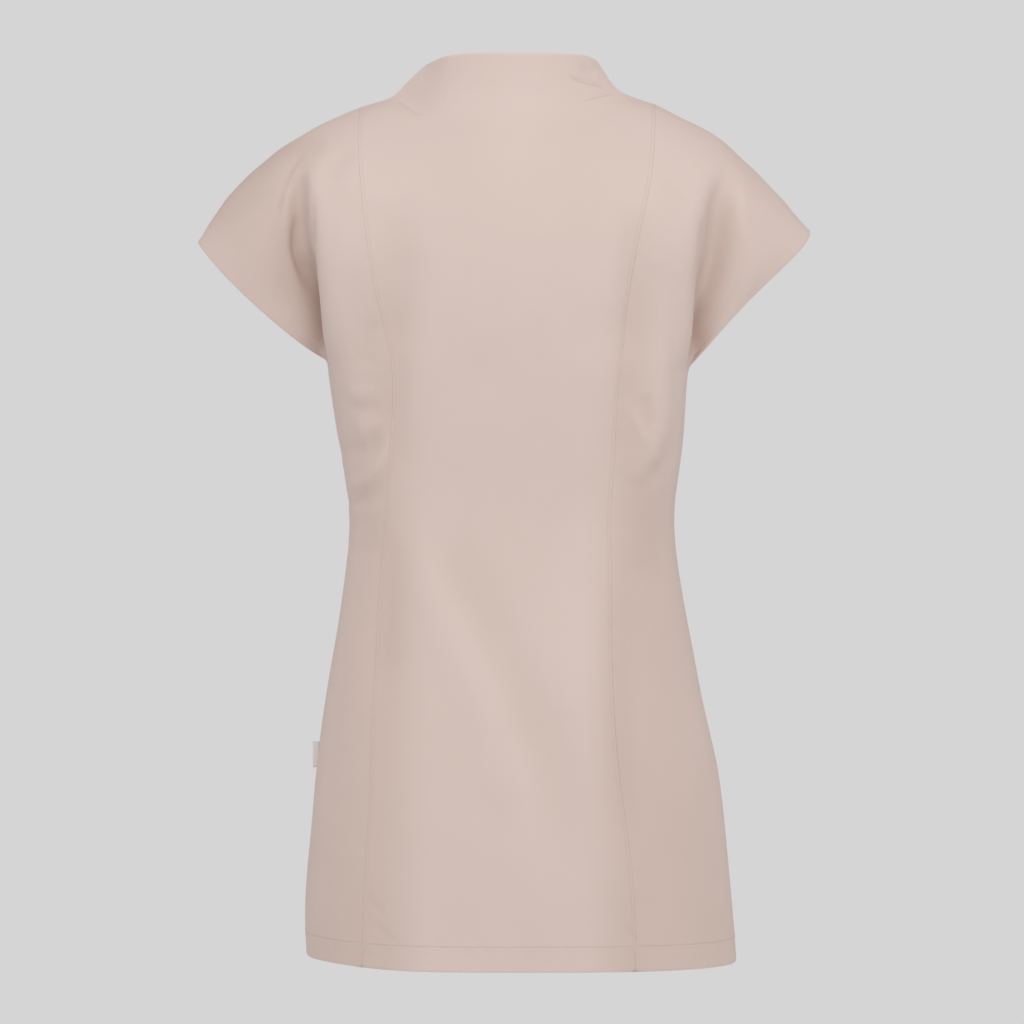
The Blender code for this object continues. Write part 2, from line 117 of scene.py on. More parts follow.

# Creases: points (x, z) that one runs through, its half-width and its height (minus is a trough).
# Two half-widths are those towards -x and +x of a crease that runs down. Several heights are those at
# its points; a single one fades out at both ends.
BACK_CREASES = [
    ("sleeve hollow left", [(-174, -66), (-173, -84), (-173, -104), (-172, -124), (-168, -142)], 7,
     (-0.8, -2.2, -1.8, -1.0, 0)),
    ("sleeve shade left", [(-192, -108), (-191, -140), (-189, -170), (-184, -194)], 11, -1.3),
    ("sleeve streak left", [(-177, -106), (-178, -120), (-178, -134), (-175, -150), (-171, -168)], 4,
     (0, -2.8, -4.8, -4.8, -1.4)),
    ("armhole edge left", [(-166, -74), (-161, -87), (-158.5, -104), (-158, -139), (-156, -160),
                           (-153.5, -183), (-152, -209), (-151, -228), (-151, -240)], (3, 10),
     (0.3, 0.7, 0.8, 1.4, 2.2, 2.4, 2.2, 2.0, 0)),
    ("sleeve crease left", [(-169, -51), (-179, -62), (-186, -77), (-192, -97), (-195, -119)], 2.6, -1.5),
    ("sleeve lip left", [(-172, -62), (-180, -77), (-186, -100), (-187, -129)], 4.5, 1.5),
    ("blade trough left", [(-91, -94), (-90, -120), (-90, -148), (-94, -206), (-97, -265), (-97, -300),
                           (-97, -335)], (26, 17), (0, -2.4, -3.4, -3.8, -3.8, -3.0, 0)),
    ("blade ridge left", [(-136, -110), (-143, -150), (-143, -185), (-141, -215), (-139, -245), (-134, -264)],
     9, (0.3, 1.5, 1.9, 2.2, 2.2, 0.6)),
    ("blade dimple left", [(-112, -195), (-117, -222), (-120, -242)], 7, -1.3),
    ("shoulder dimple left", [(-130, -48), (-141, -66), (-151, -84)], 6, -1.3),
    ("shoulder ridge left", [(-122, -60), (-131, -75), (-140, -88)], 6, 0.7),
    ("waist fold one", [(-137, -257), (-123, -258), (-110, -255)], 5, 0.8),
    ("waist dip one", [(-136, -268), (-121, -272), (-107, -270)], 5.5, -1.4),
    ("waist fold two", [(-130, -290), (-116, -287), (-104, -282)], 6, 1.2),
    ("waist dip two", [(-137, -305), (-124, -307), (-113, -303), (-106, -294)], 8, (-1.2, -1.8, -1.8, -0.6)),
    ("waist fold three", [(-98, -284), (-102, -301), (-105, -312), (-110, -322), (-117, -331), (-126, -337)],
     5.5, (0.8, 2.4, 3.2, 4.0, 4.2, 2.0)),
    ("waist dip three", [(-134, -350), (-122, -349), (-112, -342), (-103, -330)], 5.5,
     (-1.0, -1.8, -1.6, -0.4)),
    ("waist shade left", [(-120, -356), (-120, -376), (-117, -400)], 18, -1.2),
    ("hip trough left", [(-94, -365), (-96, -415), (-99, -466), (-103, -516)], 15, -1.6),
    ("drape ridge", [(-88, -390), (-56, -449), (-31, -499), (-6, -565), (16, -625)], 18, 2.4),
    ("drape trough", [(-66, -350), (-32, -422), (-6, -473), (18, -524), (48, -611), (66, -670)], 23, -2.2),
    ("blade trough right", [(104, -102), (104, -125), (104, -148), (104, -206), (101, -265), (97, -300),
                            (94, -330)], (11, 21), (0, -2.2, -2.8, -3.6, -3.6, -2.4, 0)),
    ("blade ridge right", [(131, -181), (133, -231), (133, -270), (131, -292), (124, -313)], 8,
     (0.4, 2.4, 2.8, 2.8, 1.8)),
    ("waist fork right", [(101, -267), (110, -283), (117, -298), (124, -313)], 4.5, (0.5, 1.9, 2.1, 1.2)),
    ("waist notch right", [(117, -258), (120, -274), (124, -290)], 4.5, -1.4),
    ("waist dip right", [(97, -330), (112, -336), (126, -326), (134, -306)], 8, (-0.8, -1.7, -1.7, -0.5)),
    ("waist shade right", [(118, -328), (121, -352), (122, -385), (119, -425)], 20, -2.0),
    ("hip trough right", [(94, -399), (93, -449), (91, -515), (93, -582), (98, -640)], 14, -1.6),
    ("sleeve hollow right", [(189, -66), (186, -78), (183, -92), (179, -112), (173, -137), (167, -165),
                             (162, -200), (157, -226)], (13, 13),
     (-0.8, -2.2, -2.4, -2.1, -1.6, -1.4, -1.0, -0.3)),
    ("sleeve dip right", [(180, -82), (176, -98), (173, -116), (170, -136)], 4.5, (-0.3, -1.0, -1.0, -0.2)),
    ("armhole edge right", [(180, -76), (174, -88), (167, -103), (160, -122), (159, -155), (157, -180),
                            (155, -208), (153, -228), (153, -240)], (10, 3),
     (0.2, 0.4, 0.4, 0.6, 1.1, 1.8, 2.2, 2.0, 0)),
    ("sleeve lip right", [(199, -78), (201, -108), (199, -137)], 6, 1),
    ("shoulder dimple right", [(132, -77), (142, -91), (153, -107)], 7, -0.8),
    ("collar fold right", [(53, 14), (59, 9), (74, 6), (88, 5)], 2.4, -1.4),
    ("collar fold lip", [(58, 3), (72, 0), (84, -1)], 3.5, 0.7),
    ("collar hollow right", [(62, 20), (77, 15)], 6, -0.9),
    ("collar crease left", [(-89, -2), (-82, -3), (-71, -1)], 2.2, -0.7),
    ("hem pucker one", [(-118, -678), (-110, -687), (-101, -696)], 2.6, -0.7),
    ("hem pucker two", [(-111, -701), (-101, -711), (-90, -719)], 2.6, -0.8),
    ("hem pucker three", [(96, -700), (104, -711), (112, -719)], 2.6, -0.7),
    ("neck dart left", [(-95, -5), (-84, -14), (-78, -19), (-69, -22)], 2.2, -0.5),
    ("neck dart right", [(94, 0), (79, -5), (65, -10)], 2.2, -0.5),
]
FRONT_CREASES = [
    ("sleeve valley right", [(183, -92), (174, -130), (164, -173), (157, -220)], (4, 10), -4),
    ("sleeve valley left", [(-179, -94), (-171, -134), (-163, -174), (-156, -218)], (11, 4), -4),
    ("bust trough left", [(-96, -214), (-98, -262), (-100, -312)], 10, -2.6),
    ("bust trough right", [(97, -206), (99, -258), (97, -318)], 9, -2.8),
    ("bust ridge left", [(-128, -190), (-122, -240), (-118, -280)], 11, 1.8),
    ("waist fold one", [(102, -296), (113, -300), (125, -296)], 7, 1.3),
    ("waist fold two", [(98, -330), (108, -338), (120, -340)], 7, 1.5),
    ("waist fold left", [(-122, -308), (-112, -316), (-100, -314)], 7, 1.3),
    ("hip trough right", [(96, -392), (98, -450), (103, -520)], 12, -3.0),
    ("hip trough left", [(-96, -398), (-94, -470), (-97, -560)], 12, -2.8),
    ("drape trough", [(40, -372), (10, -438), (-22, -508), (-50, -590)], 18, -3.0),
    ("drape ridge", [(70, -420), (38, -480), (8, -560)], 16, 2.0),
    ("neck pull left", [(-38, -98), (-46, -128), (-52, -160)], 8, -0.8),
    ("neck pull right", [(38, -100), (50, -132), (60, -158)], 8, -0.9),
]
# Lines (x, z) that are sewn or pressed into the neck of the back: its two darts and a sharp fold.
NECK_LINES = [[(-95, -5), (-84, -14), (-78, -19), (-69, -22)], [(94, 0), (79, -5), (65, -10)],
              [(51, 14), (58, 9), (66, 7), (74, 6), (85, 5)]]
LINE_FADE = 8                  # such a line fades out over its length divided by this, at both ends
CREASE_FADE, CREASE_END = 4, 0.12                   # and so does a crease, to this share of its height
# Places that the cloth is drawn out of the frame's form: place, way and reach, and how pointed it is
# there: 1 for a sharp corner, 2 for a soft swell.
DRAWN = [((259.7, 0, -120.4), (0.9, 0, 3.4), 10, 1), ((222, 0, -140), (0, 0, 1.7), 50, 2),
         ((-173, 0, -740), (0, 0, 5.5), 80, 2), ((-133, -70, -755), (0, 0, 3.6), 45, 2)]
# Tucks under the sleeves of the back, where the cloth turns in behind the body's edge: points (x, z),
# half-widths towards -x and +x, and the shift in x and in y of the deeper part at each point. The last
# two move it out again, beside the tops of the first two.
TUCKS = [([(166, -128), (163, -148), (160, -172), (158, -192), (156, -212), (154, -229), (153, -240)],
          (10, 12), (0, 0, -2, -5, -6, -4, 0), (0, 1, 3, 6, 8.5, 6, 0)),
         ([(-166, -136), (-164, -152), (-161, -172), (-158, -192), (-156, -212), (-154, -229), (-153, -240)],
          (12, 10), (0, 4, 8, 8, 7, 4, 0), (0, 3.6, 6, 7.5, 7.5, 6, 0)),
         ([(171, -92), (168.5, -110), (165, -137), (163, -165), (162, -190)], (9, 6), 0,
          (-0.8, -4, -4.5, -3, 0)),
         ([(-167, -78), (-166, -98), (-165.5, -120), (-165, -142)], (7, 5.5), 0, (-0.8, -5, -5.5, -1.2))]
TUCK_EDGE = [(-230, -42), (-205, -50), (-177, -58), (-135, -71), (-110, -79)]   # z and y of that edge
TUCK_BEFORE, TUCK_BEHIND = 6, 10                    # from that edge, where a tuck starts and is whole
TUCK_CUFF = (2, 20)            # from the cuff, over which a tuck gains its shift in x
CUFF_BAND = 14                 # from a cuff's edge, over which creases turn to move cloth straight in y
OFF_SEAM = (4, 34)             # from the side and shoulder seams in y, over which they gain their height


# ---------------------------------------------------------------- panels

def outer_sheet(bm):
    """Takes the rims and the inner sheet away from a wall, and leaves its outer sheet."""
    rims = set()
    for edge in bm.edges:
        if abs(edge.calc_length() - WALL) < RIM_SPARE * WALL:
            way = (edge.verts[1].co - edge.verts[0].co).normalized()
            if all(any(abs(f.normal.dot(way)) > RIM_SQUARE for f in v.link_faces) for v in edge.verts):
                rims.update(edge.link_faces)
    bmesh.ops.delete(bm, geom=list(rims), context="FACES_ONLY")
    bmesh.ops.delete(bm, geom=[e for e in bm.edges if not e.link_faces], context="EDGES")
    left, sheets = set(bm.faces), []
    while left:
        sheet, todo = set(), [next(iter(left))]
        while todo:
            face = todo.pop()
            if face not in sheet:
                sheet.add(face)
                todo += [f for e in face.edges for f in e.link_faces]
        left -= sheet
        sheets.append(sheet)
    sheets.sort(key=lambda sheet: -sum(f.calc_area() for f in sheet))
    bmesh.ops.delete(bm, geom=[f for sheet in sheets[1:] for f in sheet], context="FACES")


def pair_up(bm):
    """Joins a sheet's triangles back into its four-sided faces, from the edges of the cloth inwards."""
    free = {f for f in bm.faces if len(f.verts) == 3}
    todo, diagonals = sorted(free, key=lambda f: f.index), []
    while todo:
        face = todo.pop(0)
        if face not in free:
            continue
        shared = [e for e in face.edges if any(f in free and f is not face for f in e.link_faces)]
        if len(shared) != 1:
            continue
        other = next(f for f in shared[0].link_faces if f is not face)
        free -= {face, other}
        diagonals.append(shared[0])
        todo += [f for g in (face, other) for e in g.edges for f in e.link_faces if f in free]
    bmesh.ops.dissolve_edges(bm, edges=diagonals, use_verts=False)


def banded(bm):
    """Runs a narrow strip of faces along the whole edge of a sheet, and keeps its corners sharp."""
    sharp = bm.verts.layers.float.new("crease_vert")
    corners = [v for v in bm.verts if v.is_boundary and (len(v.link_edges) == 2 or turns(v))]
    bmesh.ops.inset_region(bm, faces=bm.faces, use_boundary=True, use_even_offset=True, thickness=SEAM_BAND)
    for v in corners:
        v[sharp] = 1.0


def turns(v):
    """Whether the sheet's edge turns a corner at this point."""
    ways = [(e.other_vert(v).co - v.co).normalized() for e in v.link_edges if e.is_boundary]
    return len(ways) == 2 and ways[0].dot(ways[1]) > CORNER


class Panel:
    """One cut piece of the blouse."""

    def __init__(self, node):
        self.node = node
        self.back = node in BACKS
        bm = bmesh.new()
        bm.from_mesh(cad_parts[node].data)
        bmesh.ops.remove_doubles(bm, verts=bm.verts, dist=WELD * WALL)
        outer_sheet(bm)
        pair_up(bm)
        banded(bm)
        mesh = bpy.data.meshes.new(node + "_cloth")
        bm.to_mesh(mesh)
        bm.free()
        mesh.shade_smooth()
        self.piece = bpy.data.objects.new(node + "_cloth", mesh)
        bpy.context.scene.collection.objects.link(self.piece)
        self.unwrap()
        self.refine()

    def unwrap(self):
        """Lays the panel flat: its UV map is the cut in metres, upright as worn, with its area kept."""
        bpy.context.view_layer.objects.active = self.piece
        bpy.ops.object.select_all(action="DESELECT")
        self.piece.select_set(True)
        bpy.ops.object.mode_set(mode="EDIT")
        bpy.ops.mesh.select_all(action="SELECT")
        bpy.ops.uv.unwrap(method="ANGLE_BASED", margin=0)
        bpy.ops.object.mode_set(mode="OBJECT")
        mesh = self.piece.data
        layer = mesh.uv_layers.active
        uv = np.zeros(2 * len(mesh.loops))
        layer.data.foreach_get("uv", uv)
        uv = uv.reshape(-1, 2)
        corner = np.zeros(len(mesh.loops), int)
        mesh.loops.foreach_get("vertex_index", corner)
        co = np.zeros(3 * len(mesh.vertices))
        mesh.vertices.foreach_get("co", co)
        z = co.reshape(-1, 3)[corner, 2]
        flat = 0.0
        for face in mesh.polygons:
            p = uv[list(face.loop_indices)]
            q = np.roll(p, -1, axis=0)
            flat += (p[:, 0] * q[:, 1] - p[:, 1] * q[:, 0]).sum() / 2
        self.area = sum(face.area for face in mesh.polygons)
        uv = uv * math.sqrt(self.area / abs(flat))
        slope = np.linalg.lstsq(np.c_[uv, np.ones(len(uv))], z, rcond=None)[0][:2]
        up = slope / np.linalg.norm(slope)
        uv = np.c_[uv @ (up[1], -up[0]), uv @ up]
        uv -= uv.min(axis=0)
        self.flat = uv.max(axis=0)
        layer.data.foreach_set("uv", uv.ravel())

    def refine(self):
        """Subdivides the sheet, and keeps its points, their normals and which ones are on its edge."""
        refine = self.piece.modifiers.new("refine", "SUBSURF")
        refine.levels = refine.render_levels = REFINE
        refine.boundary_smooth = "PRESERVE_CORNERS"
        refine.uv_smooth = "PRESERVE_BOUNDARIES"
        seen = self.piece.evaluated_get(bpy.context.evaluated_depsgraph_get())
        mesh = bpy.data.meshes.new_from_object(seen)
        self.piece.modifiers.clear()
        self.piece.data = mesh
        self.co = np.zeros(3 * len(mesh.vertices))
        mesh.vertices.foreach_get("co", self.co)
        self.co = self.co.reshape(-1, 3) / MM
        normal = np.zeros(3 * len(mesh.vertices))
        mesh.vertex_normals.foreach_get("vector", normal)
        self.normal = normal.reshape(-1, 3)
        bm = bmesh.new()
        bm.from_mesh(mesh)
        self.edge = [v.index for v in bm.verts if v.is_boundary]
        bm.free()


def tree_of(points):
    """A search tree of some points."""
    tree = KDTree(max(1, len(points)))
    for k, p in enumerate(points):
        tree.insert(p, k)
    tree.balance()
    return tree


def distance_to(tree, points):
    """Each point's distance to the nearest one in the tree, FAR at most."""
    return np.array([min(tree.find(p)[2], FAR) for p in points])


def along_line(points, line):
    """Distance from points (x, z) to a line, with its side as its sign, and the place along it, 0 to 1."""
    best = np.full(len(points), math.inf)
    side = np.ones(len(points))
    place = np.zeros(len(points))
    lengths = [math.dist(a, b) for a, b in zip(line, line[1:])]
    gone = 0.0
    for a, b, length in zip(line, line[1:], lengths):
        a, b = np.array(a, float), np.array(b, float)
        s = np.clip((points - a) @ (b - a) / length**2, 0, 1)
        away = np.linalg.norm(points - a - s[:, None] * (b - a), axis=1)
        turned = (b - a)[0] * (points - a)[:, 1] - (b - a)[1] * (points - a)[:, 0]
        nearer = away < best
        best = np.where(nearer, away, best)
        side = np.where(nearer, np.where(turned < 0, -1.0, 1.0), side)
        place = np.where(nearer, (gone + s * length) / sum(lengths), place)
        gone += length
    return best * side, place


def soft_path(points):
    """The same line with a smooth curve through its points."""
    line = [np.array(p, float) for p in points]
    ends = [2 * line[0] - line[1]] + line + [2 * line[-1] - line[-2]]
    made = []
    for a, b, c, d in zip(ends, ends[1:], ends[2:], ends[3:]):
        for s in np.linspace(0, 1, PATH_PARTS, endpoint=False):
            made.append(0.5 * (2 * b + (c - a) * s + (2 * a - 5 * b + 4 * c - d) * s**2
                               + (3 * b - a - 3 * c + d) * s**3))
    return made + [line[-1]]


def smooth_step(value, low, high):
    """0 up to low and 1 from high on, with a soft step between."""
    share = np.clip((value - low) / (high - low), 0, 1)
    return share * share * (3 - 2 * share)


def bell(away, width):
    """1 at no distance, and falling off softly over a width."""
    return np.exp(-(away / width) ** 2)


def rises(place, points, heights):
    """A crease's height along its length: as given at its points, or fading out at both ends."""
    if isinstance(heights, tuple):
        gone = np.cumsum([0.0] + [math.dist(a, b) for a, b in zip(points, points[1:])])
        return np.interp(place, gone / gone[-1], heights)
    risen = smooth_step(np.minimum(place, 1 - place), 0, 1 / CREASE_FADE)
    return heights * (CREASE_END + (1 - CREASE_END) * risen)


def creased(panel):
    """Height in mm that the creases give each point of a panel."""
    height = np.zeros(len(panel.co))
    for _, points, width, heights in (BACK_CREASES if panel.back else FRONT_CREASES):
        away, place = along_line(panel.co[:, [0, 2]], soft_path(points))
        low, high = width if isinstance(width, tuple) else (width, width)
        height += rises(place, points, heights) * bell(away, np.where(away < 0, low, high))
    return height


def wave(co, per_x, per_y, per_z, start):
    """A wave through space, from the mm that a radian of it takes in x, y and z, and its start."""
    x, y, z = co.T
    return np.sin(x / per_x + y / per_y + z / per_z + start)


def uneven(co):
    """Slow unevenness of worn cloth, about one unit high."""
    return sum(high * wave(co, *one) * wave(co, *other) for high, one, other in WAVES) / WAVES_HIGH


def ripples(along, short, long):
    """Short waves along a line, closer together in some places than in others."""
    return np.sin(along / short + 2 * np.sin(along / long))


def measured(panel, edges, loose_tree):
    """Finds which of a panel's edges are seams, and every point's distance to each kind of edge."""
    panel.seam, princess = [], []
    for k in panel.edge:
        near = min((tree.find(panel.co[k]) + (node,) for node, tree in edges.items() if node != panel.node),
                   key=lambda hit: hit[2])
        if near[2] < SAME_SEAM:
            panel.seam.append((k, near[3], near[1]))
            if "centre" in panel.node and "side" in near[3] and panel.back == (near[3] in BACKS):
                princess.append(tuple(panel.co[k]))
    seams = tree_of([tuple(panel.co[k]) for k, _, _ in panel.seam])
    found = [seams.find(p) for p in panel.co]
    panel.seam_mm = np.array([min(hit[2], FAR) for hit in found])
    panel.seam_place = np.array([hit[1] for hit in found])
    nowhere = np.full(len(panel.co), FAR)
    panel.stitch_mm = distance_to(tree_of(princess), panel.co) if princess else nowhere
    panel.edge_mm = distance_to(loose_tree, panel.co)
    panel.hem_mm = np.where(panel.co[:, 2] < HEM_TOP, panel.edge_mm, FAR)
    panel.dart_mm, panel.dart_here = nowhere.copy(), np.zeros(len(panel.co))
    for dart in NECK_LINES if panel.node == "centre_back" else []:
        away, place = along_line(panel.co[:, [0, 2]], soft_path(dart))
        near = np.abs(away) < np.abs(panel.dart_mm)
        panel.dart_mm[near] = away[near]
        panel.dart_here[near] = np.clip(LINE_FADE * np.minimum(place[near], 1 - place[near]), 0, 1)


def painted_shade_of(panel, height):
    """Share of the darker tint of painted shade that the cloth takes at each point, before its tucks add to
    it.
    """
    x, _, z = panel.co.T
    facing = np.abs(panel.normal[:, 1])
    hollow = np.clip(-height / HOLLOW_DEEP, 0, HOLLOW_MOST)
    sides = smooth_step(np.abs(x), *SIDE_OUT) * smooth_step(-z, *SIDE_DOWN)
    sides *= SIDE_LEAST + (1 - SIDE_LEAST) * smooth_step(facing, *SIDE_FACING)
    rim = np.interp(z, *SLEEVE_RIM)
    sleeve = smooth_step(-x, rim, rim + SLEEVE_SOFT)
    sleeve *= smooth_step(z, *SLEEVE_UP) * smooth_step(-z, *SLEEVE_DOWN)
    sleeve *= SLEEVE_LEAST + (1 - SLEEVE_LEAST) * smooth_step(panel.edge_mm, *SLEEVE_CUFF)
    shoulder = smooth_step(np.abs(x), *SHOULDER_OUT) * smooth_step(z, *SHOULDER_UP)
    shoulder *= 1 - smooth_step(facing, *SHOULDER_FACING)
    return HOLLOW_SHADE * hollow + SIDE_SHADE * sides + SLEEVE_SHADE * sleeve + SHOULDER_SHADE * shoulder


def small_forms(panel):
    """Height that unevenness, seams, loose edges and the hem give each point of a panel."""
    x, _, z = panel.co.T
    pressed = np.interp(-z, *PRESSED)
    height = UNEVEN * uneven(panel.co)
    height -= SEAM_ROLL * pressed * bell(panel.seam_mm, SEAM_SOFT)
    height += SEAM_PUFF * pressed * bell(panel.stitch_mm - STITCH_LINE / 2, PUFF_SOFT)
    height += SEAM_RIPPLE * bell(panel.seam_mm, SEAM_RIPPLE_SOFT) * ripples(z, *SEAM_WAVES)
    height -= EDGE_ROLL * bell(panel.edge_mm, EDGE_SOFT)
    height += HEM_RIPPLE * bell(panel.hem_mm - HEM_LINE, HEM_RIPPLE_SOFT) * ripples(x, *HEM_WAVES)
    return height


def shaped(panel):
    """Moves a panel's points for its creases, seams and hem."""
    _, y, z = panel.co.T
    height = creased(panel)
    # painted shade, kept for the finish: in hollows, at the sides, on the shoulders and on the left sleeve
    panel.tone = painted_shade_of(panel, height)
    # Beside a cuff creases move the cloth straight out in y, and not at all at the side seam, so the
    # sleeve keeps its outline.
    cuff = (1 - smooth_step(panel.edge_mm, 0, CUFF_BAND)) * (z > UNDERARM_Z)
    off_seam = smooth_step(np.abs(y), *OFF_SEAM)
    height *= 1 - cuff * (1 - off_seam)
    straight_out = np.array([0, -1.0 if panel.back else 1.0, 0])
    moved = height[:, None] * (panel.normal * (1 - cuff)[:, None] + straight_out * cuff[:, None])
    panel.moved = panel.co + moved + panel.normal * small_forms(panel)[:, None]
    for place, way, reach, power in DRAWN:
        near = np.exp(-(np.linalg.norm(panel.co - place, axis=1) / reach) ** power)
        panel.moved += near[:, None] * way
    if panel.back:
        tucked(panel, off_seam)


def tucked(panel, off_seam):
    """Turns a back panel's cloth in under the sleeve, behind the body's edge, and paints shade into the tuck.
    """
    _, y, z = panel.co.T
    edge_y = np.interp(z, *np.array(TUCK_EDGE, float).T)
    behind = smooth_step(y, edge_y - TUCK_BEFORE, edge_y + TUCK_BEHIND)
    for line, (low, high), across, inward in TUCKS:
        away, place = along_line(panel.co[:, [0, 2]], soft_path(line))
        held = behind * bell(away, np.where(away < 0, low, high))
        deep = rises(place, line, inward) * held
        panel.moved[:, 0] += rises(place, line, across) * held * smooth_step(panel.edge_mm, *TUCK_CUFF)
        panel.moved[:, 1] += deep * off_seam
        # paints shade into the tuck, the more the deeper it is
        panel.tone += TUCK_SHADE * deep / TUCK_DEEP


def joined(panel, panels):
    """Draws a panel's seam edges to their neighbours', and finishes its mesh."""
    gaps = [(panel.moved[k] + panels[node].moved[panels[node].edge[other]]) / 2 - panel.moved[k]
            for k, node, other in panel.seam]
    pull = np.array(gaps)[panel.seam_place] * bell(panel.seam_mm, SEAM_PULL)[:, None]
    panel.final = panel.moved + pull
    mesh = panel.piece.data
    mesh.vertices.foreach_set("co", (panel.final * MM).ravel())
    for name in MEASURES:
        mesh.attributes.new(name, "FLOAT", "POINT").data.foreach_set("value", getattr(panel, name))
    mesh.update()
    wall = panel.piece.modifiers.new("cloth", "SOLIDIFY")
    wall.thickness, wall.offset = CLOTH, -1.0


panels = {node: Panel(node) for node in PANELS}
edges = {node: tree_of([tuple(panel.co[k]) for k in panel.edge]) for node, panel in panels.items()}
loose = []
for node, panel in panels.items():
    rest = [tree for other, tree in edges.items() if other != node]
    loose += [tuple(panel.co[k]) for k in panel.edge if min(t.find(panel.co[k])[2] for t in rest) > LOOSE]
loose_tree = tree_of(loose)
for panel in panels.values():
    measured(panel, edges, loose_tree)
    shaped(panel)
for panel in panels.values():
    joined(panel, panels)


# ---------------------------------------------------------------- stitching

def line_at(panel, values, level, keep):
    """Points of the cloth where a measured distance has a given value, with the cloth's normals there."""
    mesh = panel.piece.data
    ends = np.zeros(2 * len(mesh.edges), int)
    mesh.edges.foreach_get("vertices", ends)
    first, last = ends.reshape(-1, 2).T
    a, b = values[first] - level, values[last] - level
    cross = (a * b < 0) & keep[first] & keep[last]
    share = (a[cross] / (a[cross] - b[cross]))[:, None]
    first, last = first[cross], last[cross]
    return (panel.final[first] * (1 - share) + panel.final[last] * share,
            panel.normal[first] * (1 - share) + panel.normal[last] * share)


def sewn(bm, points, normals, order, pitch):
    """Sets a row of stitches along a line of points, one each pitch."""
    if len(points) < 3:
        return
    turn = np.argsort(order)
    points, normals = points[turn], normals[turn]
    gone = np.concatenate([[0], np.cumsum(np.linalg.norm(np.diff(points, axis=0), axis=1))])
    at = np.arange(pitch, gone[-1] - pitch, pitch)
    place = np.stack([np.interp(at, gone, points[:, k]) for k in range(3)], axis=1)
    facing = np.stack([np.interp(at, gone, normals[:, k]) for k in range(3)], axis=1)
    row = bmesh.new()
    size = Matrix.Diagonal((STITCH_LONG / 2, STITCH_WIDE / 2, STITCH_WIDE / 2, 1))
    for k in range(1, len(at) - 1):
        along = Vector(place[k + 1] - place[k - 1]).normalized()
        out = Vector(facing[k])
        out = (out - along * out.dot(along)).normalized()
        turned = Matrix((along, out.cross(along), out)).transposed().to_4x4()
        where = Matrix.Translation(Vector(place[k]) + out * STITCH_PROUD)
        matrix = Matrix.Scale(MM, 4) @ where @ turned @ size
        bmesh.ops.create_icosphere(row, subdivisions=1, radius=1, matrix=matrix)
    mesh = bpy.data.meshes.new("row")
    row.to_mesh(mesh)
    row.free()
    bm.from_mesh(mesh)
    bpy.data.meshes.remove(mesh)


def stitching(panel):
    """A panel's stitches: along its hem, and beside the princess seams on a centre panel."""
    bm = bmesh.new()
    points, normals = line_at(panel, panel.hem_mm, HEM_LINE, panel.seam_mm > STITCH_CLEAR)
    middle = points.mean(axis=0) * (1, 0, 1)
    x, y, _ = (points - middle).T
    sewn(bm, points, normals, np.arctan2(x, -y if panel.back else y), HEM_PITCH)
    for side in (-1, 1):
        keep = (panel.stitch_mm < 2 * STITCH_LINE) & (side * panel.final[:, 0] > 0)
        keep &= panel.edge_mm > STITCH_CLEAR
        points, normals = line_at(panel, panel.stitch_mm, STITCH_LINE, keep)
        sewn(bm, points, normals, points[:, 2], SEAM_PITCH)
    mesh = bpy.data.meshes.new(panel.node + "_stitches")
    bm.to_mesh(mesh)
    bm.free()
    mesh.shade_smooth()
    piece = bpy.data.objects.new(mesh.name, mesh)
    bpy.context.scene.collection.objects.link(piece)
    return piece


# ---------------------------------------------------------------- label

def ribbon():
    """The blank tab: a narrow ribbon folded over on itself, with both its ends in the side seam."""
    low, high = (Vector(c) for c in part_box("label_tab"))
    reach, thick, rise = high - low
    bm = bmesh.new()
    bend = [bm.verts.new((low.x + reach * u, (low.y + high.y) / 2 + thick * v, low.z)) for u, v in LABEL_BEND]
    strip = [bm.edges.new(pair) for pair in zip(bend, bend[1:])]
    for _ in range(LABEL_ROWS):
        grown = bmesh.ops.extrude_edge_only(bm, edges=strip)["geom"]
        lifted = [v for v in grown if isinstance(v, bmesh.types.BMVert)]
        strip = [e for e in grown if isinstance(e, bmesh.types.BMEdge) and all(v in lifted for v in e.verts)]
        bmesh.ops.translate(bm, verts=lifted, vec=(0, 0, rise / LABEL_ROWS))
    bmesh.ops.recalc_face_normals(bm, faces=bm.faces)
    mesh = bpy.data.meshes.new("label_ribbon")
    bm.to_mesh(mesh)
    bm.free()
    mesh.shade_smooth()
    piece = bpy.data.objects.new("label_ribbon", mesh)
    bpy.context.scene.collection.objects.link(piece)
    wall = piece.modifiers.new("ribbon", "SOLIDIFY")
    wall.thickness, wall.offset = LABEL_CLOTH, 0.0
    return piece


# ---------------------------------------------------------------- finishes

class Value:
    """One output of a node, so that shader maths reads as plain sums."""

    def __init__(self, finish, socket):
        self.finish = finish
        self.socket = socket

    def math(self, operation, *others, swap=False):
        values = [self, *others][::-1] if swap else [self, *others]
        sockets = dict(enumerate(values))
        return self.finish.node("ShaderNodeMath", {"operation": operation}, sockets)

    def __add__(self, other):
        return self.math("ADD", other)

    def __sub__(self, other):
        return self.math("SUBTRACT", other)

    def __mul__(self, other):
        return self.math("MULTIPLY", other)

    def __truediv__(self, other):
        return self.math("DIVIDE", other)

    def __rsub__(self, other):
        return self.math("SUBTRACT", other, swap=True)

    __radd__ = __add__
    __rmul__ = __mul__

    def sine(self):
        return self.math("SINE")

    def near(self, middle, width):
        """1 at the middle, falling to 0 at width away."""
        away = (self - middle).math("ABSOLUTE") / width
        return (1 - away).math("MAXIMUM", 0.0)

    def above(self, low, high):
        """0 at low and 1 at high, with a soft step between."""
        settings = {"interpolation_type": "SMOOTHSTEP"}
        sockets = {"Value": self, "From Min": low, "From Max": high}
        return self.finish.node("ShaderNodeMapRange", settings, sockets)


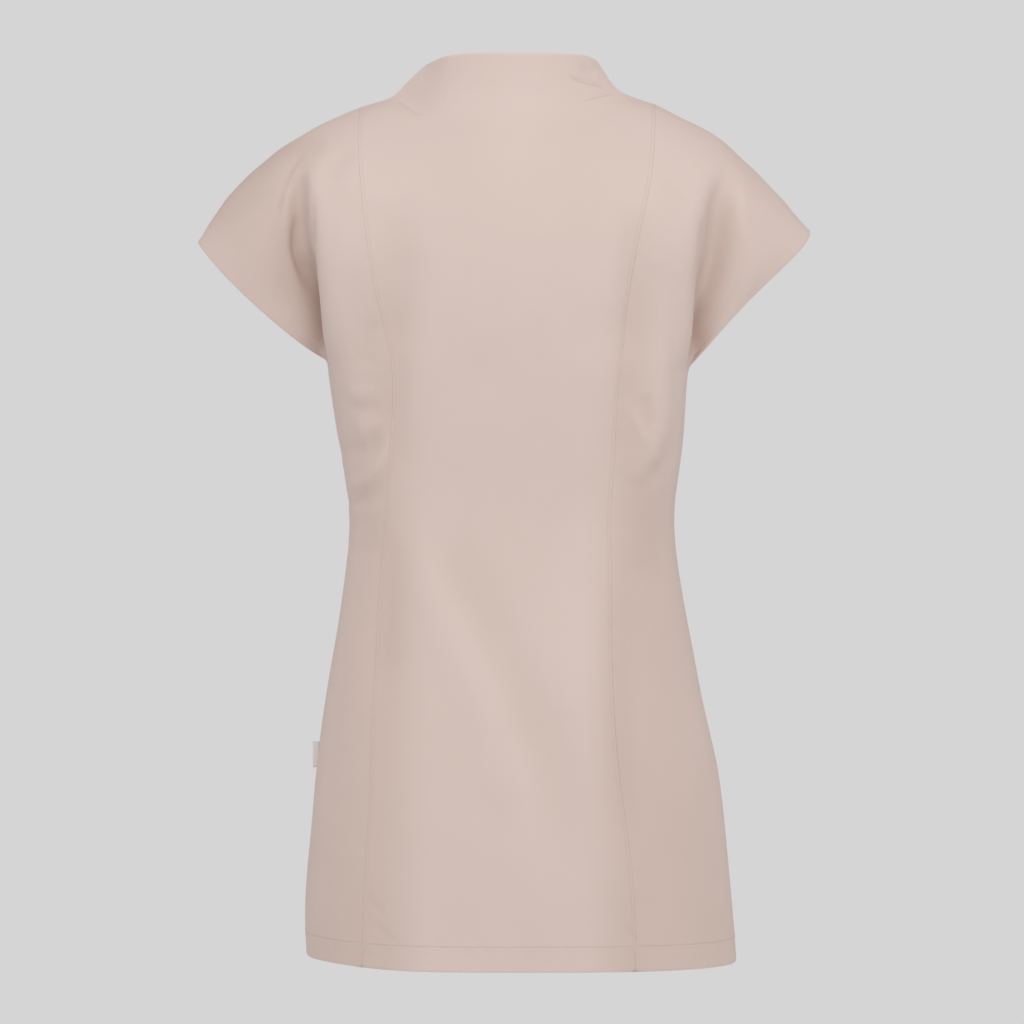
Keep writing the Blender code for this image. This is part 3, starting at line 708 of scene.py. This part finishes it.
class Finish:
    """A material under construction."""

    def __init__(self, name, roughness):
        self.material = bpy.data.materials.new(name)
        self.material.use_nodes = True
        self.tree = self.material.node_tree
        self.shader = self.tree.nodes["Principled BSDF"]
        self.shader.inputs["Roughness"].default_value = roughness

    def node(self, kind, settings, sockets, output=0):
        made = self.tree.nodes.new(kind)
        for key, value in settings.items():
            setattr(made, key, value)
        for key, value in sockets.items():
            self.feed(made.inputs[key], value)
        return Value(self, made.outputs[output])

    def feed(self, socket, value):
        if isinstance(value, Value):
            self.tree.links.new(value.socket, socket)
        else:
            socket.default_value = value

    def set(self, **values):
        for key, value in values.items():
            self.feed(self.shader.inputs[key.replace("_", " ")], value)

    def attribute(self, name):
        return self.node("ShaderNodeAttribute", {"attribute_name": name}, {}, "Fac")

    def noise(self, vector, scale, detail):
        sockets = {"Vector": vector, "Scale": scale, "Detail": detail}
        return self.node("ShaderNodeTexNoise", {}, sockets, "Fac")

    def separate(self, vector, axis):
        return self.node("ShaderNodeSeparateXYZ", {}, {0: vector}, axis)

    def mix(self, share, first, second):
        # The Mix node takes colours in at its sockets 6 and 7 and gives one out at 2.
        sockets = {0: share, 6: (*first, 1) if isinstance(first, tuple) else first,
                   7: (*second, 1) if isinstance(second, tuple) else second}
        return self.node("ShaderNodeMix", {"data_type": "RGBA"}, sockets, 2)

    def bump(self, height, distance, strength=1.0):
        sockets = {"Height": height, "Distance": distance, "Strength": strength}
        return self.node("ShaderNodeBump", {}, sockets)


# Colours are linear red, green and blue.
CLOTH_LIGHT = (0.735, 0.600, 0.545)
CLOTH_DARK = (0.715, 0.580, 0.524)
SEAM_SHADE = (0.55, 0.42, 0.36)
# painted shade: the darker tint that stands in for shade on the cloth
PAINTED_SHADE_TINT = (0.45, 0.31, 0.25)
# painted highlight that the loose edges are lightened towards
EDGE_HIGHLIGHT = (0.80, 0.68, 0.62)
THREAD = (0.70, 0.565, 0.51)
THREAD_SHADE = 0.9             # share of that colour between the thread's plies
LABEL_WHITE = (0.88, 0.87, 0.85)
WEAVE_PITCH, TWILL_PITCH = 0.55 * MM, 0.45 * MM     # from rib to rib of the cloth and of the label
SLUB_SCALE, CLOUD_SCALE, PLY_SCALE, SOIL_SCALE = 900.0, 9.0, 2600.0, 320.0      # noise cells a metre
PATCHES = (0.3, 0.7)           # noise over which the cloth's and the thread's two colours change
SOIL, SOILED = (0.3, 0.8), 0.15                     # and the label's, and the share of soil at most
LINE_WIDE, DART_WIDE = 0.6, 0.7                     # that the shade of a seam or hem, or of a dart, reaches
SEAM_DARK, DART_DARK, HEM_DARK = 0.03, 0.22, 0.04   # shares of SEAM_SHADE on these lines
DART_DEEP, HEM_DEEP = 0.3, 0.25                     # and how deep they are
HEM_THICK, HEM_STEP = 0.12, 1.2                     # that the turned hem stands proud, and over which
WEAVE_HIGH, SLUB_HIGH, RELIEF = 0.03, 0.08, 0.7     # heights of the weave, share of all relief that shows
PLY_HIGH, TWILL_HIGH = 0.05 * MM, 0.05 * MM
EDGE_HIGHLIGHT_SHARE, EDGE_REACH = 0.4, (1.1, 0.6)             # share of the painted highlight along loose edges, and from none to all of it


def cloth_finish():
    """Plain weave: clouded colour, ribs and slubs, painted shade where it is sewn, hollow or turned from the
    light, and a painted highlight along its loose edges.
    """
    finish = Finish("blush_plain_weave", 0.85)
    uv = finish.node("ShaderNodeUVMap", {}, {})
    place = finish.node("ShaderNodeTexCoord", {}, {}, "Object")
    ribs = [(finish.separate(uv, axis) * (2 * math.pi / WEAVE_PITCH)).sine() for axis in (0, 1)]
    slub = finish.noise(uv, SLUB_SCALE, 3.0)
    cloud = finish.noise(place, CLOUD_SCALE, 3.0)
    seam, hem, edge, dart, dart_here, tone = (finish.attribute(name) for name in MEASURES)
    sewn_in = dart.math("ABSOLUTE").near(0.0, DART_WIDE) * dart_here
    hem_line = hem.near(HEM_LINE, LINE_WIDE)
    shade = seam.near(0.0, LINE_WIDE) * SEAM_DARK + sewn_in * DART_DARK + hem_line * HEM_DARK
    colour = finish.mix(cloud.above(*PATCHES), CLOTH_DARK, CLOTH_LIGHT)
    # painted shade: darker towards a tint in hollows, at the sides, on the shoulders, on the left sleeve and
    # in tucks
    colour = finish.mix(tone, colour, PAINTED_SHADE_TINT)
    # painted highlight along the loose edges of neck, hem and cuffs
    colour = finish.mix(edge.above(*EDGE_REACH) * EDGE_HIGHLIGHT_SHARE, colour, EDGE_HIGHLIGHT)
    colour = finish.mix(shade.math("MINIMUM", 1.0), colour, SEAM_SHADE)
    turned = hem_line * -HEM_DEEP + hem.above(HEM_LINE, HEM_LINE - HEM_STEP) * HEM_THICK
    height = ribs[0] * ribs[1] * WEAVE_HIGH + slub * SLUB_HIGH + turned - sewn_in * DART_DEEP
    finish.set(Base_Color=colour, Normal=finish.bump(height, MM, RELIEF))
    finish.set(Sheen_Weight=0.05, Sheen_Roughness=0.6, Specular_IOR_Level=0.25)
    return finish.material


def thread_finish():
    """Sewing thread, a little shinier than the cloth, with its plies."""
    finish = Finish("blush_thread", 0.6)
    place = finish.node("ShaderNodeTexCoord", {}, {}, "Object")
    ply = finish.noise(place, PLY_SCALE, 1.0)
    colour = finish.mix(ply.above(*PATCHES), tuple(THREAD_SHADE * c for c in THREAD), THREAD)
    finish.set(Base_Color=colour, Normal=finish.bump(ply, PLY_HIGH), Specular_IOR_Level=0.4)
    return finish.material


def label_finish():
    """Off-white twill ribbon, a little soiled."""
    finish = Finish("white_ribbon", 0.75)
    place = finish.node("ShaderNodeTexCoord", {}, {}, "Object")
    diagonal = finish.separate(place, 0) + finish.separate(place, 2)
    twill = (diagonal * (2 * math.pi / TWILL_PITCH)).sine()
    soil = finish.noise(place, SOIL_SCALE, 3.0)
    colour = finish.mix(soil.above(*SOIL) * SOILED, LABEL_WHITE, CLOTH_LIGHT)
    finish.set(Base_Color=colour, Normal=finish.bump(twill, TWILL_HIGH), Specular_IOR_Level=0.3)
    return finish.material


def dressed(piece, material):
    """Gives a piece its finish and its body."""
    piece.data.materials.clear()
    piece.data.materials.append(material)
    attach(piece, "root")


cloth, thread = cloth_finish(), thread_finish()
for node, panel in panels.items():
    stitches = stitching(panel)
    dressed(panel.piece, cloth)
    dressed(stitches, thread)
    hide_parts(node)
    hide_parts(node)

label = ribbon()
dressed(label, label_finish())
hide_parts("label_tab")


# ---------------------------------------------------------------- stage, light and camera

BACKDROP_GREY = 0.665          # what the camera sees behind the blouse
ROOM_GREY, FLOOR_GREY = 0.62, 0.82                  # the room's light on it, and the floor's paint
FLOOR_RADIUS, FLOOR_DOWN, FLOOR_SIDES = 2.6, 1.3, 96    # the first two in metres
# Lamps: name, place and what it is aimed at, width and height, all in metres, and watts.
LAMPS = [("soft_box", (0.25, -2.6, 1.4), (0, 0, -0.35), (1.8, 1.8), 31.5),
         ("side_box", (-2.9, -0.7, 0.3), (0, 0, -0.4), (1.4, 2.0), 5.0),
         ("side_box", (2.9, -0.7, 0.3), (0, 0, -0.4), (1.4, 2.0), 5.0),
         ("top_box", (0.0, -0.9, 2.4), (0, 0, -0.2), (2.4, 2.0), 1.0)]
EYE = (0.0043, -3.6, -0.3586)  # the camera's place in metres; it looks along +y
EYE_LENS, EYE_SENSOR = 147.2, 36.0

for name, place, aim, size, watts in LAMPS:
    light = bpy.data.lights.new(name, "AREA")
    light.shape = "RECTANGLE"
    light.size, light.size_y = size
    light.energy = watts
    lamp = bpy.data.objects.new(name, light)
    lamp.location = place
    lamp.rotation_euler = (Vector(aim) - Vector(place)).to_track_quat("-Z", "Y").to_euler()
    bpy.context.scene.collection.objects.link(lamp)

world = bpy.data.worlds.new("studio")
bpy.context.scene.world = world
world.use_nodes = True
room = world.node_tree.nodes
backdrop = room["Background"]
backdrop.inputs["Color"].default_value = (BACKDROP_GREY,) * 3 + (1,)
shade = room.new("ShaderNodeBackground")
shade.inputs["Color"].default_value = (ROOM_GREY,) * 3 + (1,)
seen = room.new("ShaderNodeLightPath")
blend = room.new("ShaderNodeMixShader")
link = world.node_tree.links.new
link(seen.outputs["Is Camera Ray"], blend.inputs[0])
link(shade.outputs[0], blend.inputs[1])
link(backdrop.outputs[0], blend.inputs[2])
link(blend.outputs[0], room["World Output"].inputs["Surface"])

bm = bmesh.new()
bmesh.ops.create_circle(bm, cap_ends=True, segments=FLOOR_SIDES, radius=FLOOR_RADIUS,
                        matrix=Matrix.Translation((0, 0, -FLOOR_DOWN)))
floor_mesh = bpy.data.meshes.new("floor")
bm.to_mesh(floor_mesh)
bm.free()
floor = bpy.data.objects.new("floor", floor_mesh)
bpy.context.scene.collection.objects.link(floor)
paint = Finish("floor_paint", 0.7)
paint.set(Base_Color=(FLOOR_GREY,) * 3 + (1,))
floor_mesh.materials.append(paint.material)

camera = bpy.data.cameras.new("camera")
camera.lens, camera.sensor_width = EYE_LENS, EYE_SENSOR
eye = bpy.data.objects.new("camera", camera)
eye.location = EYE
eye.rotation_euler = (math.radians(90), 0, 0)
bpy.context.scene.collection.objects.link(eye)
bpy.context.scene.camera = eye
bpy.context.scene.view_settings.view_transform = "Standard"
